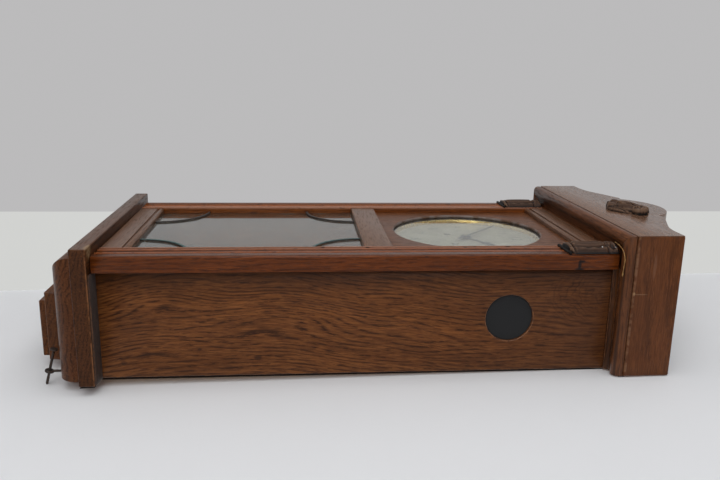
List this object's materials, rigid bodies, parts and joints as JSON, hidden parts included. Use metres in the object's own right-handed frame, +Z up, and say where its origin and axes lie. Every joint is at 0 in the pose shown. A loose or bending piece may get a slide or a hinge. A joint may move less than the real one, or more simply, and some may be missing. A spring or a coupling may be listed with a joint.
{
  "type": "regulator clock",
  "caption": "Hanging oak regulator clock with arched crest, glazed hinged door, round dial, striking movement and pendulum.",
  "frame": {"origin": "centre of the hanging hole at the back plane", "axes": "+X to the viewer's right, +Y into the wall, +Z up"},
  "size_m": [0.3382, 0.1931, 0.8063],
  "materials": {
    "oak_case": "satin",
    "oak_door": "satin",
    "oak_dark": "satin",
    "carving": "satin",
    "pine_back": "matte",
    "pendulum_wood": "satin",
    "cloth": "matte",
    "iron": "satin",
    "steel": "satin",
    "hand_steel": "satin",
    "brass": "satin",
    "lead_came": "matte",
    "glass": "gloss",
    "dial_enamel": "gloss"
  },
  "bodies": {
    "case": {"backboard": "pine_back", "side_panel_right": "oak_case", "side_panel_left": "oak_case", "case_top_board": "oak_case", "plinth_board": "oak_case", "bullnose_board": "oak_case", "base_block": "oak_dark", "base_plate": "oak_dark", "side_strips": "oak_dark", "cornice_moulding": "oak_case", "crest_front": "oak_case", "crest_returns": "oak_case", "crest_carving": "carving", "sound_cloths": "cloth", "hanger_plate": "iron", "hanger_screws": "iron", "stabiliser_eyes": "iron", "hinge_case_leaves": "brass", "catch_clip": "brass", "movement_brackets": "iron", "front_plate": "brass", "back_plate": "brass", "pillars": "brass", "dial": "dial_enamel", "dial_bezel": "brass", "rod_gong": "iron", "pendulum_cock": "brass"},
    "door": {"door_stile_right": "oak_door", "door_stile_left": "oak_door", "door_top_rail": "oak_door", "door_mid_rail": "oak_door", "door_bottom_rail": "oak_door", "lower_glass": "glass", "dial_glass": "glass", "dial_mask": "oak_door", "glazing_arcs": "lead_came", "capitals": "carving", "hinge_door_leaves": "brass", "catch_stud": "brass"},
    "minute_arbor": {"centre_arbor": "brass", "minute_hand": "hand_steel", "hand_nut": "brass"},
    "hour_pipe": {"hour_wheel": "brass", "hour_hand": "hand_steel"},
    "motion_wheel": {"minute_wheel": "brass"},
    "going_barrel": {"time_barrel": "brass"},
    "striking_barrel": {"strike_barrel": "brass"},
    "going_winder": {"winding_arbor_time": "steel"},
    "striking_winder": {"winding_arbor_strike": "steel"},
    "third_arbor": {"third_wheel": "brass"},
    "escape_arbor": {"escape_wheel": "brass"},
    "anchor_arbor": {"pallet_anchor": "steel"},
    "pendulum": {"suspension_spring": "steel", "pendulum_rod": "pendulum_wood", "pendulum_bob": "brass"},
    "rating": {"rating_nut": "brass"},
    "pin_arbor": {"pin_wheel": "brass"},
    "hammer_arbor": {"strike_hammer": "steel"},
    "stay_right": {"stabiliser_screw_right": "iron"},
    "stay_left": {"stabiliser_screw_left": "iron"}
  },
  "joints": [
    {"name": "door_swing", "type": "hinge", "parent": "case", "child": "door", "pos_m": [-0.147, -0.128, -0.3346], "axis": [0, 0, -1], "range_deg": [0, 105]},
    {"name": "minute_spin", "type": "hinge", "parent": "case", "child": "minute_arbor", "pos_m": [0, -0.087, -0.1815], "axis": [0, 1, 0], "continuous": true},
    {"name": "hour_spin", "type": "hinge", "parent": "case", "child": "hour_pipe", "pos_m": [0, -0.117, -0.1815], "axis": [0, 1, 0], "continuous": true},
    {"name": "motion_spin", "type": "hinge", "parent": "case", "child": "motion_wheel", "pos_m": [0, -0.115, -0.1935], "axis": [0, 1, 0], "continuous": true},
    {"name": "going_barrel_spin", "type": "hinge", "parent": "case", "child": "going_barrel", "pos_m": [0.027, -0.087, -0.2015], "axis": [0, 1, 0], "continuous": true},
    {"name": "third_spin", "type": "hinge", "parent": "case", "child": "third_arbor", "pos_m": [0.0163, -0.087, -0.16074], "axis": [0, 1, 0], "continuous": true},
    {"name": "escape_spin", "type": "hinge", "parent": "case", "child": "escape_arbor", "pos_m": [0, -0.087, -0.1475], "axis": [0, 1, 0], "continuous": true},
    {"name": "pendulum_swing", "type": "hinge", "parent": "case", "child": "pendulum", "pos_m": [0, -0.038, -0.1265], "axis": [0, 1, 0], "range_deg": [-2.5, 2.5]},
    {"name": "anchor_rock", "type": "hinge", "parent": "case", "child": "anchor_arbor", "pos_m": [0, -0.08, -0.1265], "axis": [0, 1, 0], "range_deg": [-2.5, 2.5]},
    {"name": "rating_spin", "type": "hinge", "parent": "pendulum", "child": "rating", "pos_m": [0, -0.038, -0.571], "axis": [0, 0, 1], "continuous": true},
    {"name": "going_winding", "type": "hinge", "parent": "case", "child": "going_winder", "pos_m": [0.027, -0.1, -0.2015], "axis": [0, 1, 0], "continuous": true},
    {"name": "striking_winding", "type": "hinge", "parent": "case", "child": "striking_winder", "pos_m": [-0.027, -0.1, -0.2015], "axis": [0, 1, 0], "continuous": true},
    {"name": "striking_barrel_spin", "type": "hinge", "parent": "case", "child": "striking_barrel", "pos_m": [-0.027, -0.087, -0.2015], "axis": [0, 1, 0], "continuous": true},
    {"name": "pin_spin", "type": "hinge", "parent": "case", "child": "pin_arbor", "pos_m": [-0.0412, -0.087, -0.17105], "axis": [0, 1, 0], "continuous": true},
    {"name": "hammer_lift", "type": "hinge", "parent": "case", "child": "hammer_arbor", "pos_m": [-0.052, -0.06, -0.1495], "axis": [0, -1, 0], "range_deg": [0, 8], "stiffness_Nm_per_rad": 0.02, "springref_deg": -17.19},
    {"name": "stay_right_screw", "type": "slide", "parent": "case", "child": "stay_right", "axis": [0, 0.9659, -0.2588], "range_m": [-0.006, 0.004]},
    {"name": "stay_left_screw", "type": "slide", "parent": "case", "child": "stay_left", "axis": [0, 0.9659, -0.2588], "range_m": [-0.006, 0.004]}
  ],
  "couplings": [
    {"joint": "hour_spin", "follows": "minute_spin", "ratio": 0.083333},
    {"joint": "motion_spin", "follows": "minute_spin", "ratio": -0.33333},
    {"joint": "going_barrel_spin", "follows": "minute_spin", "ratio": -0.14286},
    {"joint": "third_spin", "follows": "minute_spin", "ratio": -10},
    {"joint": "escape_spin", "follows": "minute_spin", "ratio": 95},
    {"joint": "anchor_rock", "follows": "pendulum_swing", "ratio": 1},
    {"joint": "pin_spin", "follows": "striking_barrel_spin", "ratio": -7}
  ]
}
